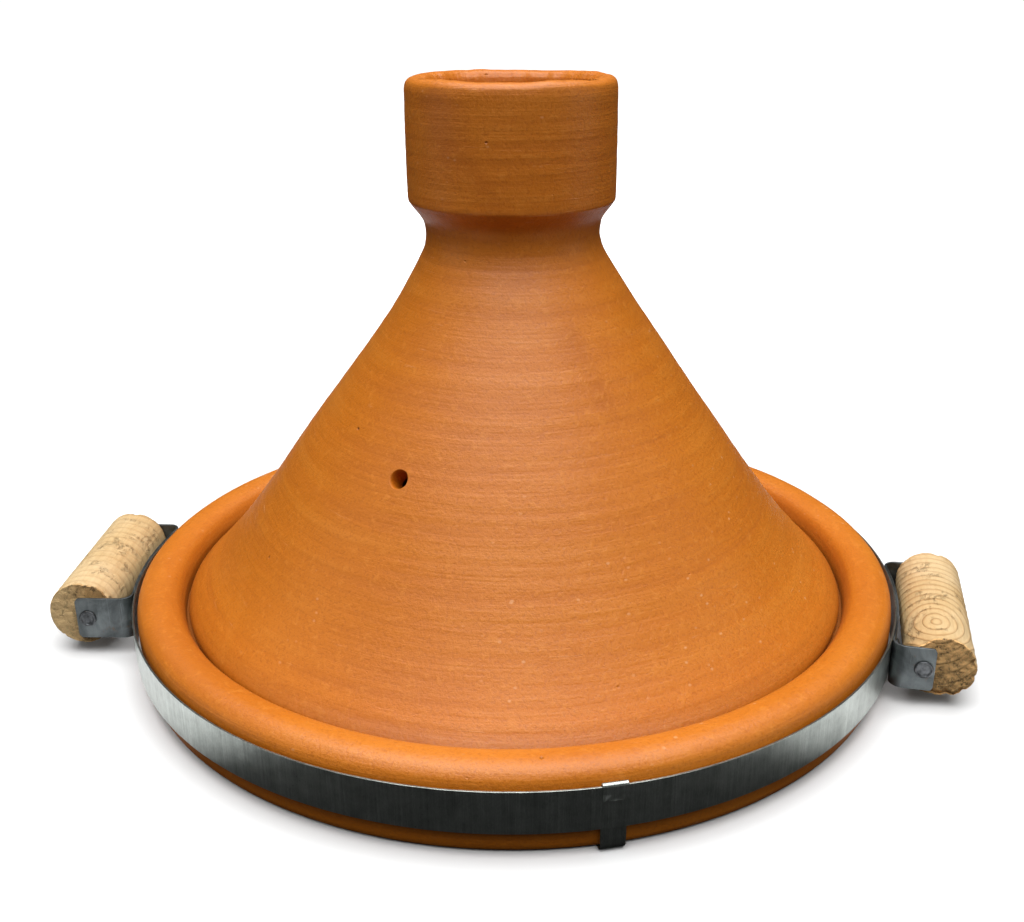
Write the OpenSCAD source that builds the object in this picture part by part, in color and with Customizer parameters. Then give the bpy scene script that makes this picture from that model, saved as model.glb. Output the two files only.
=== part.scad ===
// Tagine pot: a shallow clay dish held in a steel hoop with two wooden grips,
// and a tall clay cone lid with a hollow knob that lifts straight off.
// Millimetres, +Z up, origin at the centre of the underside, handles along X.

/* [Dish] */
// Radius of the dish wall behind the hoop
dish_r = 156.4; // [140:0.2:180]
// Height of the rim crest above the table
rim_top = 32.4; // [31:0.2:36]
// Radius of the rolled rim
rim_roll = 7; // [5:0.5:8]
// Height of the ledge that carries the lid
ledge_z = 21; // [19:0.5:22]
// Thickness of the dish floor
floor_t = 8; // [6:0.5:10]

/* [Lid] */
// Radius of the lid's foot
lid_r = 136.4; // [134:0.2:137]
// Wall thickness of the lid
lid_wall = 8; // [6:0.5:9]
// Height of the neck under the knob
neck_z = 168.6; // [155:0.2:180]
// Radius of the neck
neck_r = 33.7; // [30:0.1:36]
// Radius of the knob
knob_r = 40; // [38:0.1:46]
// Height of the knob's lip above the table
knob_top = 226.6; // [218:0.2:240]
// Radius of the knob's mouth
mouth_r = 31; // [28:0.1:33]
// Radius of the steam hole
steam_r = 3.3; // [2:0.1:5]
// Height of the steam hole
steam_z = 94; // [70:1:120]
// Direction of the steam hole round the lid
steam_turn = 247.3; // [0:0.1:360]

/* [Hoop] */
// Height of the hoop strip
hoop_h = 16; // [13:0.5:16]
// Thickness of the hoop strip
hoop_t = 0.7; // [0.5:0.1:0.8]
// Height of the hoop's lower edge
hoop_z = 10.3; // [10:0.1:11]
// Gap between the hoop and the clay
hoop_gap = 0.9; // [0.9:0.05:1.1]
// Angle of the lapped seam at the back of the hoop
lap_deg = 12; // [8:1:16]

/* [Strap] */
// Width of the strap that runs under the dish
strap_w = 8.5; // [8:0.5:14]
// Thickness of the strap
strap_t = 0.6; // [0.5:0.1:0.6]
// Turn of the strap from the line square to the handles
strap_turn = 18.9; // [0:0.1:30]
// Length of the strap's folded end on the outside of the hoop
tab_h = 5; // [4:0.5:8]

/* [Handles] */
// Angle that each handle sits forward of the sides
handle_sweep = 6; // [0:0.5:10]
// Width of the bracket strips
bracket_h = 18; // [15:0.5:18]
// Thickness of the bracket strips
bracket_t = 0.9; // [0.8:0.1:1]
// Inside bend radius of the brackets
bend_r = 4; // [3:0.5:6]
// Length of the grips
grip_len = 70; // [60:1:80]
// Radius of the left grip
left_grip_r = 13.8; // [12:0.1:14]
// Distance from the dish's axis to the left grip's centre
left_grip_at = 176; // [176:0.1:178]
// Distance from the dish's axis to the left grip's nails
left_nail_at = 173.4; // [173:0.1:175]
// Reach of the left bracket's arms from the dish's axis
left_reach = 178; // [178:0.1:180]
// Radius of the right grip
right_grip_r = 13.3; // [12:0.1:13.4]
// Distance from the dish's axis to the right grip's centre
right_grip_at = 173.2; // [173.2:0.1:175]
// Distance from the dish's axis to the right grip's nails
right_nail_at = 166.8; // [166.5:0.1:168]
// Reach of the right bracket's arms from the dish's axis
right_reach = 170.8; // [170.8:0.1:173]
// Height of the grips' centres
grip_z = 18.6; // [18.4:0.1:19]
// Height of the nails
nail_z = 17.2; // [17:0.1:18]
// Slope of the right grip, whose far end sits higher on its nail
right_tilt = 2.2; // [0:0.1:2.4]
// Radius of the nail shanks
nail_r = 1.4; // [1.2:0.1:1.6]
// Radius of the nail heads
head_r = 3.5; // [3:0.1:3.6]
// Length of the nails under the head
nail_len = 26; // [20:1:30]

/* [Hidden] */
$fn = 128;
fit = 0.05;
gap = 0.3;
hoop_r_in = dish_r + hoop_gap;
hoop_r = hoop_r_in + hoop_t;
hoop_top = hoop_z + hoop_h;
web_r = hoop_r + bracket_t;
rim_r_at = dish_r - rim_roll;
rim_z_at = rim_top - rim_roll;
arm_y = grip_len / 2 + gap;
bend_at = sqrt(pow(web_r + bend_r, 2) - pow(arm_y - bend_r, 2));
bend_deg = asin((arm_y - bend_r) / (web_r + bend_r));
rivet_r = 1.6;
rivet_turn = 8;
cone_z = 45.4;
cone_r = lid_r - 20;

// Points of an arc from angle a to angle b about (x, y).
function arc(x, y, r, a, b, n = 8) =
    [for (i = [0:n]) [x + r * cos(a + (b - a) * i / n), y + r * sin(a + (b - a) * i / n)]];

// Points of a smooth bend that leaves p towards c and arrives at q.
function bend(p, c, q, n = 8) =
    [for (i = [0:n]) let (t = i / n) (1 - t) * (1 - t) * p + 2 * t * (1 - t) * c + t * t * q];

// A strip of flat sheet bent to a ring sector: radius to the inside, thickness and height.
module ring_sector(r, t, h, from, to) {
    rotate([0, 0, from])
        rotate_extrude(angle = to - from)
            translate([r, 0])
                square([t, h]);
}

module base_dish() {
    outer = concat(
        [[0, strap_t], [dish_r - 3.2, strap_t]],
        bend([dish_r - 3.2, strap_t], [dish_r - 1.3, strap_t], [dish_r - 1, strap_t + 3], 4),
        [[dish_r, hoop_z]],
        arc(rim_r_at, rim_z_at, rim_roll, 0, 100, 12));
    inner = concat(
        bend([147, rim_top - 0.15], [139.6, rim_top - 0.6], [138, rim_top - 6], 8),
        [[137.3, ledge_z + 1.4], [137.2, ledge_z], [127, ledge_z]],
        bend([127, ledge_z], [124, ledge_z], [122, ledge_z - 3], 5),
        bend([120.4, ledge_z - 6], [118.6, strap_t + floor_t], [108, strap_t + floor_t], 8),
        [[0, strap_t + floor_t - 0.8]]);
    color("chocolate")
        rotate_extrude()
            polygon(concat(outer, inner));
}

// Outline of the lid's outside from its foot up to the knob's lip.
function lid_outside() = concat(
    [[lid_r - 2, ledge_z]],
    bend([lid_r - 1, ledge_z], [lid_r, ledge_z], [lid_r, ledge_z + 1], 3),
    bend([lid_r, ledge_z + 2], [lid_r - 0.6, ledge_z + 4.4], [lid_r - 4.6, ledge_z + 7.2], 6),
    bend([cone_r, cone_z], [74, 102], [44.6, 145.6], 12),
    bend([44.6, 145.6], [neck_r - 0.4, neck_z - 7.6], [neck_r, neck_z], 8),
    bend([neck_r, neck_z], [neck_r + 0.3, neck_z + 5], [36.8, neck_z + 8.8], 6),
    bend([36.8, neck_z + 8.8], [knob_r - 0.4, neck_z + 12.4], [knob_r, neck_z + 14.4], 6),
    arc(knob_r - 3.6, knob_top - 3.6, 3.6, 0, 90, 8));

// Outline of the knob's cup from its lip down to its closed floor.
function knob_inside() = concat(
    arc(mouth_r + 3, knob_top - 3, 3, 90, 180, 6),
    [[mouth_r - 2.4, neck_z + 26]],
    bend([mouth_r - 3.6, neck_z + 17], [mouth_r - 5, neck_z + 10], [16, neck_z + 9], 7),
    [[0, neck_z + 8.4]]);

// Outline of the lid's hollow from its apex down to its foot.
function lid_inside() = concat(
    [[0, neck_z - 6]],
    bend([8, neck_z - 6.6], [19, neck_z - 8], [27, neck_z - 20], 6),
    bend([34.8, 145.6], [74 - lid_wall * 1.22, 102], [cone_r - lid_wall * 1.22, cone_z], 12),
    [[lid_r - lid_wall - 1, ledge_z + 5]],
    bend([lid_r - lid_wall - 0.6, ledge_z + 2], [lid_r - lid_wall - 0.5, ledge_z],
        [lid_r - lid_wall + 1.5, ledge_z], 4));

module lid() {
    steam_at = cone_r + (cone_z - steam_z) * 0.735;
    color("sandybrown")
        difference() {
            rotate_extrude()
                polygon(concat(lid_outside(), knob_inside(), lid_inside()));
            rotate([0, 0, steam_turn])
                translate([steam_at, 0, steam_z])
                    rotate([0, 54, 0])
                        cylinder(r = steam_r, h = 40, center = true);
        }
}

// Outline of the hoop seen from above, with its ends lapped at the back.
module hoop_outline() {
    difference() {
        circle(r = hoop_r);
        circle(r = hoop_r_in);
    }
    intersection() {
        difference() {
            circle(r = hoop_r + hoop_t);
            circle(r = hoop_r - hoop_t / 2);
        }
        polygon([[0, 0], [-200 * tan(lap_deg / 2), 200], [200 * tan(lap_deg / 2), 200]]);
    }
}

module hoop_band() {
    color("slategray")
        difference() {
            translate([0, 0, hoop_z])
                linear_extrude(hoop_h)
                    hoop_outline();
            for (x = [-1, 1])
                rivet_hole(90 + x * lap_deg / 4);
            for (side = [0, 180])
                for (x = [-1, 1])
                    rivet_hole(handle_turn(side) + x * rivet_turn);
        }
}

// Direction of a handle round the dish: side 0 is right, side 180 is left.
function handle_turn(side) = side == 0 ? -handle_sweep : 180 + handle_sweep;

module rivet_hole(turn) {
    rotate([0, 0, turn])
        translate([hoop_r, 0, hoop_z + hoop_h / 2])
            rotate([0, 90, 0])
                cylinder(r = rivet_r, h = 12, center = true);
}

// One rivet through the sheets from the hoop's inside out to radius outside_r.
module rivet(turn, outside_r) {
    rotate([0, 0, turn])
        translate([0, 0, hoop_z + hoop_h / 2])
            rotate([0, 90, 0]) {
                translate([0, 0, hoop_r_in - 0.6])
                    cylinder(r = 2.6, h = 0.55);
                translate([0, 0, hoop_r_in - 0.3])
                    cylinder(r = rivet_r, h = outside_r - hoop_r_in + 0.5);
                translate([0, 0, outside_r])
                    rotate_extrude()
                        polygon(concat([[0, 0]], arc(1.2, 0, 1.6, 0, 60, 4), [[0, 1.5]]));
            }
}

module hoop_rivets() {
    color("gainsboro")
        for (x = [-1, 1])
            rivet(90 + x * lap_deg / 4, hoop_r + hoop_t);
}

module rivets(side) {
    color("gainsboro")
        for (x = [-1, 1])
            rivet(handle_turn(side) + x * rivet_turn, web_r);
}

// One end of the strap: a leg behind the hoop, folded out over its top edge.
module strap_end() {
    leg_r = dish_r + 0.1;
    foot_bend = 3;
    fold_in = (hoop_r - hoop_r_in + 0.25) / 2;
    fold_at = leg_r + strap_t + fold_in;
    w = strap_w;
    translate([0, -w / 2, 0])
        cube([leg_r - foot_bend, w, strap_t]);
    translate([leg_r - foot_bend, w / 2, strap_t + foot_bend])
        rotate([90, 90, 0])
            ring_sector(foot_bend, strap_t, w, 0, 90);
    translate([leg_r, -w / 2, strap_t + foot_bend])
        cube([strap_t, w, hoop_top - strap_t - foot_bend + 0.1]);
    translate([fold_at, w / 2, hoop_top + 0.1])
        rotate([90, 0, 0])
            ring_sector(fold_in, strap_t, w, 0, 180);
    translate([fold_at + fold_in, -w / 2, hoop_top + 0.1 - tab_h])
        cube([strap_t, w, tab_h]);
}

module under_strap() {
    color("slategray")
        rotate([0, 0, strap_turn - 90])
            for (turn = [0, 180])
                rotate([0, 0, turn])
                    strap_end();
}

// Outline of a bracket seen from above: a web along the hoop and two arms.
module bracket_outline(reach) {
    intersection() {
        difference() {
            circle(r = web_r);
            circle(r = hoop_r);
        }
        polygon([[0, 0], [2 * web_r * cos(bend_deg), 2 * web_r * sin(bend_deg)],
            [2 * web_r * cos(bend_deg), -2 * web_r * sin(bend_deg)]]);
    }
    for (m = [0, 1])
        mirror([0, m]) {
            translate([bend_at, arm_y - bend_r])
                intersection() {
                    difference() {
                        circle(r = bend_r + bracket_t);
                        circle(r = bend_r);
                    }
                    polygon([[0, 0], [0, 30], [-30, 30], [-30, -30 * tan(bend_deg)]]);
                }
            translate([bend_at, arm_y])
                square([reach - bend_at, bracket_t]);
        }
}

module bracket(side, reach, nail_at) {
    color("dimgray")
        difference() {
            rotate([0, 0, handle_turn(side)])
                difference() {
                    translate([0, 0, nail_z - bracket_h / 2])
                        linear_extrude(bracket_h)
                            bracket_outline(reach);
                    translate([nail_at, 0, nail_z])
                        rotate([90, 0, 0])
                            cylinder(r = nail_r + fit, h = grip_len + 20, center = true);
                }
            for (x = [-1, 1])
                rivet_hole(handle_turn(side) + x * rivet_turn);
        }
}

// A wooden grip with its two nail holes, lying along Y.
module grip(side, r, at, nail_at, tilt) {
    half = (grip_len - 2 * r * sin(tilt)) / 2;
    color("burlywood")
        rotate([0, 0, handle_turn(side)])
            difference() {
                translate([at, 0, grip_z])
                    rotate([90 + tilt, 0, 0])
                        rotate_extrude()
                            polygon([[0, -half], [r - 0.8, -half], [r, -half + 0.8],
                                [r, half - 0.8], [r - 0.8, half], [0, half]]);
                for (m = [0, 1])
                    mirror([0, m, 0])
                        translate([nail_at, grip_len / 2 + 1, nail_z])
                            rotate([90, 0, 0])
                                cylinder(r = nail_r, h = nail_len + 1);
            }
}

// Two nails with dished round heads, one in each end of a grip.
module nails(side, nail_at) {
    head_y = grip_len / 2 + gap + bracket_t + 0.15;
    color("lightgray")
        rotate([0, 0, handle_turn(side)])
            for (m = [0, 1])
                mirror([0, m, 0])
                    translate([nail_at, head_y, nail_z])
                        rotate([-90, 0, 0])
                            rotate_extrude()
                                polygon([[0, 4 - nail_len], [nail_r * 0.6, 5 - nail_len],
                                    [nail_r, 7 - nail_len], [nail_r, 0], [head_r - 0.3, 0],
                                    [head_r, 0.4], [head_r - 0.3, 0.9], [head_r - 0.8, 0.9],
                                    [1.4, 0.5], [0, 0.45]]);
}

base_dish();
lid();
hoop_band();
hoop_rivets();
under_strap();
bracket(180, left_reach, left_nail_at);  // bracket_left
bracket(0, right_reach, right_nail_at);  // bracket_right
rivets(180);  // rivets_left
rivets(0);  // rivets_right
grip(180, left_grip_r, left_grip_at, left_nail_at, 0);  // grip_left
grip(0, right_grip_r, right_grip_at, right_nail_at, right_tilt);  // grip_right
nails(180, left_nail_at);  // nails_left
nails(0, right_nail_at);  // nails_right
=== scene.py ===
"""Looks for a tagine pot: thrown clay, galvanised strip, steel brackets and pine grips."""

import math

import bmesh
import bpy
from mathutils import Euler, Matrix, Vector, noise


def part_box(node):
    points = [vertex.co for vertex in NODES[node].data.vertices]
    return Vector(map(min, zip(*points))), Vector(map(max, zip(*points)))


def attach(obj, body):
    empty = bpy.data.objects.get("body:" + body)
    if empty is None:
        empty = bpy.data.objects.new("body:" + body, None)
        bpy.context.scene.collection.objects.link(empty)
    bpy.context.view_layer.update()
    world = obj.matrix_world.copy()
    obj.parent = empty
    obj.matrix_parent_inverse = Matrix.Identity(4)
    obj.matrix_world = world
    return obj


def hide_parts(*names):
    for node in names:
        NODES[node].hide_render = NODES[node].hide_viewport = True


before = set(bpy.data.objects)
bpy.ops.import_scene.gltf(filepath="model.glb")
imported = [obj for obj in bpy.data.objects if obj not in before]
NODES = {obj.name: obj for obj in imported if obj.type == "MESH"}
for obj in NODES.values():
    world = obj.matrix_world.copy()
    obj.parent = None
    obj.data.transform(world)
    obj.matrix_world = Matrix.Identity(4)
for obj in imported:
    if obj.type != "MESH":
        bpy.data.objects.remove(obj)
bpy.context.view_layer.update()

bl_info = {
    "name": "Tagine Pot",
    "version": (1, 0, 0),
    "blender": (4, 5, 0),
    "location": "3D View > Sidebar > Tagine",
    "description": "Makes the clay, steel and wooden pieces of a tagine pot",
    "category": "Add Mesh",
}

MM = 0.001
POT_RADIUS = 158 * MM


def middle(node):
    """Centre of a CAD node's box."""
    low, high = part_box(node)
    return (Vector(low) + Vector(high)) / 2


def turn_of(node):
    """Direction of a CAD node round the pot, in radians."""
    at = middle(node)
    return math.atan2(at.y, at.x)


# ---------------------------------------------------------------------------
# Settings


def shade(name, description, default):
    """A colour setting."""
    return bpy.props.FloatVectorProperty(
        name=name, description=description, subtype="COLOR", size=3, min=0, max=1, default=default)


def distance(name, description, default):
    """A length setting, in metres."""
    return bpy.props.FloatProperty(
        name=name, description=description, subtype="DISTANCE", unit="LENGTH", default=default)


def angle(name, description, degrees):
    """An angle setting, with its default in degrees."""
    return bpy.props.FloatProperty(
        name=name, description=description, subtype="ANGLE", unit="ROTATION",
        default=math.radians(degrees))


class TagineClay(bpy.types.PropertyGroup):
    """Shape and colour of the thrown clay."""

    colour: shade("Clay", "Main colour of the fired clay", (0.57, 0.163, 0.006))
    dark: shade("Dark clay", "Colour in the throwing lines and stains", (0.42, 0.102, 0.003))
    light: shade("Light clay", "Colour of rubbed places and scuffs", (0.68, 0.235, 0.026))
    wobble: distance("Wobble", "How far the rim and lip wander from a true circle", 0.45 * MM)
    throwing: distance("Throwing lines", "Height of the lines left by the potter's fingers", 0.11 * MM)
    lean: distance("Lean", "How far the cone bulges to one side under its neck", 1.4 * MM)
    steps: bpy.props.IntProperty(
        name="Steps round", description="Faces round the clay", default=384, min=48)
    steam_turn: angle("Steam hole direction", "Where the steam hole is round the lid", 247.3)
    steam_height: distance("Steam hole height", "Height of the steam hole", 94 * MM)
    steam_radius: distance("Steam hole radius", "Radius of the steam hole", 3.3 * MM)


class TagineSteel(bpy.types.PropertyGroup):
    """Sizes and colours of the hoop, strap, brackets and fasteners."""

    strip: shade("Strip", "Colour of the galvanised strip", (0.38, 0.41, 0.385))
    bracket: shade("Bracket", "Colour of the bracket steel", (0.10, 0.112, 0.115))
    nail: shade("Nail", "Colour of the nails and rivets", (0.095, 0.1, 0.105))
    hoop_radius: distance("Hoop radius", "Outside radius of the hoop", 158.0 * MM)
    hoop_sheet: distance("Hoop sheet", "Thickness of the hoop's strip", 0.7 * MM)
    strap_turn: angle("Strap direction", "Direction of the strap's front end", -71.1)
    strap_width: distance("Strap width", "Width of the strap under the dish", 8.5 * MM)
    strap_sheet: distance("Strap sheet", "Thickness of the strap", 0.6 * MM)
    bracket_sheet: distance("Bracket sheet", "Thickness of the brackets", 0.9 * MM)
    bend: distance("Bracket bend", "Inside radius of the brackets' bends", 4 * MM)


class TagineWood(bpy.types.PropertyGroup):
    """Sizes and colours of the grips."""

    pale: shade("Early wood", "Pale wood between the rings", (0.63, 0.44, 0.215))
    ring: shade("Late wood", "Darker wood in the rings", (0.43, 0.235, 0.085))
    end: shade("End grain", "Colour of the sawn ends", (0.50, 0.30, 0.12))
    length: distance("Grip length", "Length of the grips", 70 * MM)
    chips: distance("Chips", "Depth of the chips round the sawn ends", 1.5 * MM)


class TagineStage(bpy.types.PropertyGroup):
    """Camera, floor and lights."""

    view_turn: angle("View turn", "Camera's turn round the pot", 7.6)
    view_distance: distance("View distance", "Camera's distance from the pot's axis", 0.4565)
    view_height: distance("View height", "Camera's height over the table", 0.2553)
    view_tilt: angle("View tilt", "How far the camera looks down", 21.8)
    view_aside: distance("View aside", "Camera's place to the right of the pot's axis", -0.5 * MM)
    view_roll: angle("View roll", "Camera's turn about its own line of sight", -0.36)
    lens: bpy.props.FloatProperty(
        name="Lens", description="Focal length on a 36 mm sensor", subtype="DISTANCE_CAMERA",
        default=41.5)


SETTINGS = {
    "tagine_clay": TagineClay,
    "tagine_steel": TagineSteel,
    "tagine_wood": TagineWood,
    "tagine_stage": TagineStage,
}


# ---------------------------------------------------------------------------
# Outlines


def through(points, step):
    """Points spaced about step apart on a smooth curve through points."""
    found = []
    ends = [points[0]] + list(points) + [points[-1]]
    for a, b, c, d in zip(ends, ends[1:], ends[2:], ends[3:]):
        count = max(1, round(math.dist(b, c) / step))
        for i in range(count):
            t = i / count
            found.append(tuple(
                0.5 * (2 * q + (r - p) * t + (2 * p - 5 * q + 4 * r - s) * t * t
                       + (3 * q - p - 3 * r + s) * t ** 3)
                for p, q, r, s in zip(a, b, c, d)))
    found.append(tuple(points[-1]))
    return found


def outline(stretches):
    """One outline in metres from stretches of (spacing, points), all in millimetres."""
    found = []
    for step, points in stretches:
        found += through(points, step)[(1 if found else 0):]
    return [(x * MM, y * MM) for x, y in found]


def arc(x, y, radius, start, stop, count):
    """Points of an arc in degrees about (x, y)."""
    turns = [math.radians(start + (stop - start) * i / count) for i in range(count + 1)]
    return [(x + radius * math.cos(a), y + radius * math.sin(a)) for a in turns]


def grain(x, y=0.0, z=0.0, depth=3):
    """Smooth noise from -1 to 1."""
    return noise.fractal(Vector((x, y, z)), 1.0, 2.1, depth)


# ---------------------------------------------------------------------------
# Mesh helpers


def finish_mesh(name, verts, faces, crease=40):
    """A mesh object with soft shading, hard only across edges sharper than crease degrees."""
    mesh = bpy.data.meshes.new(name)
    mesh.from_pydata([tuple(v) for v in verts], [], faces)
    mesh.validate()
    shape = bmesh.new()
    shape.from_mesh(mesh)
    bmesh.ops.recalc_face_normals(shape, faces=shape.faces[:])
    shape.to_mesh(mesh)
    shape.free()
    mesh.shade_smooth()
    mesh.set_sharp_from_angle(angle=math.radians(crease))
    piece = bpy.data.objects.new(name, mesh)
    bpy.context.scene.collection.objects.link(piece)
    return piece


def between(ring, following):
    """Faces from one ring of points to the next. A ring on the axis is one point, and takes triangles."""
    faces = []
    for i in range(len(ring)):
        j = (i + 1) % len(ring)
        corners = (ring[i], following[i], following[j], ring[j])
        faces.append(tuple(dict.fromkeys(corners)))
    return faces


def spin(name, chains, count, shape, closed=False, crease=40, axis="Z"):
    """A turned form from chains of (radius, height) along an axis.

    shape gives the point at (radius, height, turn).
    """
    verts = []
    faces = []
    first = None
    for chain in chains:
        before = None
        for radius, height in chain:
            if radius < 0.01 * MM:
                ring = [len(verts)] * count
                verts.append(Vector((0, height, 0) if axis == "Y" else (0, 0, height)))
            else:
                ring = list(range(len(verts), len(verts) + count))
                verts += [shape(radius, height, 2 * math.pi * i / count) for i in range(count)]
            if before:
                faces += between(before, ring)
            before = ring
            first = first or ring
    if closed:
        faces += between(before, first)
    return finish_mesh(name, verts, faces, crease)


def loft(name, sections):
    """A solid through equal rings of points, capped at both ends."""
    size = len(sections[0])
    verts = [p for ring in sections for p in ring]
    faces = []
    for a in range(0, len(verts) - size, size):
        faces += between(range(a, a + size), range(a + size, a + 2 * size))
    faces.append(tuple(reversed(range(size))))
    faces.append(tuple(range(len(verts) - size, len(verts))))
    return finish_mesh(name, verts, faces)


def strip_section(half_width, half_sheet, across, round_off=0.12 * MM):
    """Points round a strip's section as (along its width, along its thickness)."""
    inner = half_width - round_off
    spots = [inner * (2 * i / across - 1) for i in range(across + 1)]
    top = [(s, half_sheet) for s in spots]
    bottom = [(s, -half_sheet) for s in reversed(spots)]
    flat = half_sheet - round_off
    right = [(half_width, flat), (half_width, -flat)]
    left = [(-half_width, -flat), (-half_width, flat)]
    return top + right + bottom + left


def joined(name, parts):
    """Several meshes as one piece."""
    verts = []
    faces = []
    for part in parts:
        base = len(verts)
        verts += [part.matrix_world @ v.co for v in part.data.vertices]
        faces += [tuple(base + i for i in p.vertices) for p in part.data.polygons]
        bpy.data.objects.remove(part)
    return finish_mesh(name, verts, faces, 45)


def place(piece, body, nodes, material):
    """Puts a piece in for its CAD nodes, on their body and in their finish."""
    piece.data.materials.append(material)
    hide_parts(*nodes)
    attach(piece, body)


# ---------------------------------------------------------------------------
# Material helpers


class Nodes:
    """Short calls for laying out one material's nodes."""

    def __init__(self, name):
        self.material = bpy.data.materials.new(name)
        self.material.use_nodes = True
        self.tree = self.material.node_tree
        self.shader = self.tree.nodes["Principled BSDF"]
        self.place = self.tree.nodes.new("ShaderNodeTexCoord").outputs["Object"]

    def link(self, source, socket):
        if isinstance(source, (int, float)):
            socket.default_value = source
        elif isinstance(source, (tuple, list)):
            socket.default_value = tuple(source) + (1.0,) if len(source) == 3 else source
        else:
            self.tree.links.new(source, socket)

    def scaled(self, scale, turn=(0, 0, 0), shift=(0, 0, 0), source=None):
        node = self.tree.nodes.new("ShaderNodeMapping")
        self.link(source or self.place, node.inputs["Vector"])
        node.inputs["Scale"].default_value = scale
        node.inputs["Rotation"].default_value = turn
        node.inputs["Location"].default_value = shift
        return node.outputs["Vector"]

    def noise(self, scale, detail=4.0, rough=0.55, source=None, warp=0.0):
        node = self.tree.nodes.new("ShaderNodeTexNoise")
        self.link(source or self.place, node.inputs["Vector"])
        node.inputs["Scale"].default_value = scale
        node.inputs["Detail"].default_value = detail
        node.inputs["Roughness"].default_value = rough
        node.inputs["Distortion"].default_value = warp
        return node.outputs["Fac"]

    def cells(self, scale, source=None):
        """Distance to the nearest of scattered points."""
        node = self.tree.nodes.new("ShaderNodeTexVoronoi")
        self.link(source or self.place, node.inputs["Vector"])
        node.inputs["Scale"].default_value = scale
        return node.outputs["Distance"]

    def ramp(self, source, *stops):
        """A ramp from (position, grey or colour) stops."""
        node = self.tree.nodes.new("ShaderNodeValToRGB")
        self.link(source, node.inputs["Fac"])
        while len(node.color_ramp.elements) < len(stops):
            node.color_ramp.elements.new(0.5)
        for element, (spot, colour) in zip(node.color_ramp.elements, stops):
            if isinstance(colour, (int, float)):
                colour = (colour,) * 3
            element.position = spot
            element.color = (*colour, 1)
        return node.outputs["Color"]

    def mask(self, source, none, full, strength=1.0):
        """Grey that goes from 0 where the source is none to strength where it is full."""
        grey = self.ramp(source, *sorted([(none, 0.0), (full, 1.0)]))
        return grey if strength == 1.0 else self.times(grey, strength)

    def math(self, kind, a, b=0.0, clamp=False):
        node = self.tree.nodes.new("ShaderNodeMath")
        node.operation = kind
        node.use_clamp = clamp
        for socket, value in zip(node.inputs, (a, b)):
            self.link(value, socket)
        return node.outputs[0]

    def times(self, a, b):
        return self.math("MULTIPLY", a, b)

    def plus(self, a, b):
        return self.math("ADD", a, b)

    def length(self, x, y):
        """Length of the way (x, y)."""
        return self.math("SQRT", self.plus(self.times(x, x), self.times(y, y)))

    def mix(self, factor, a, b):
        node = self.tree.nodes.new("ShaderNodeMix")
        node.data_type = "RGBA"
        self.link(factor, node.inputs["Factor"])
        self.link(a, node.inputs["A"])
        self.link(b, node.inputs["B"])
        return node.outputs["Result"]

    def split(self, source=None):
        node = self.tree.nodes.new("ShaderNodeSeparateXYZ")
        self.link(source or self.place, node.inputs[0])
        return node.outputs

    def join(self, x, y, z):
        node = self.tree.nodes.new("ShaderNodeCombineXYZ")
        for socket, value in zip(node.inputs, (x, y, z)):
            self.link(value, socket)
        return node.outputs[0]

    def bump(self, height, distance, strength=1.0, under=None):
        node = self.tree.nodes.new("ShaderNodeBump")
        self.link(height, node.inputs["Height"])
        node.inputs["Distance"].default_value = distance
        node.inputs["Strength"].default_value = strength
        if under:
            self.link(under, node.inputs["Normal"])
        return node.outputs["Normal"]

    def finish(self, colour, rough, face):
        """The material, with its colour, roughness and relief linked."""
        self.link(colour, self.shader.inputs["Base Color"])
        self.link(rough, self.shader.inputs["Roughness"])
        self.link(face, self.shader.inputs["Normal"])
        return self.material

    def round_the_pot(self):
        """Coordinates (arc length, radius, height) round the pot's axis."""
        x, y, z = self.split()
        turn = self.math("ARCTAN2", y, x)
        return self.join(self.times(turn, POT_RADIUS), self.length(x, y), z)


# ---------------------------------------------------------------------------
# Materials


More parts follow.
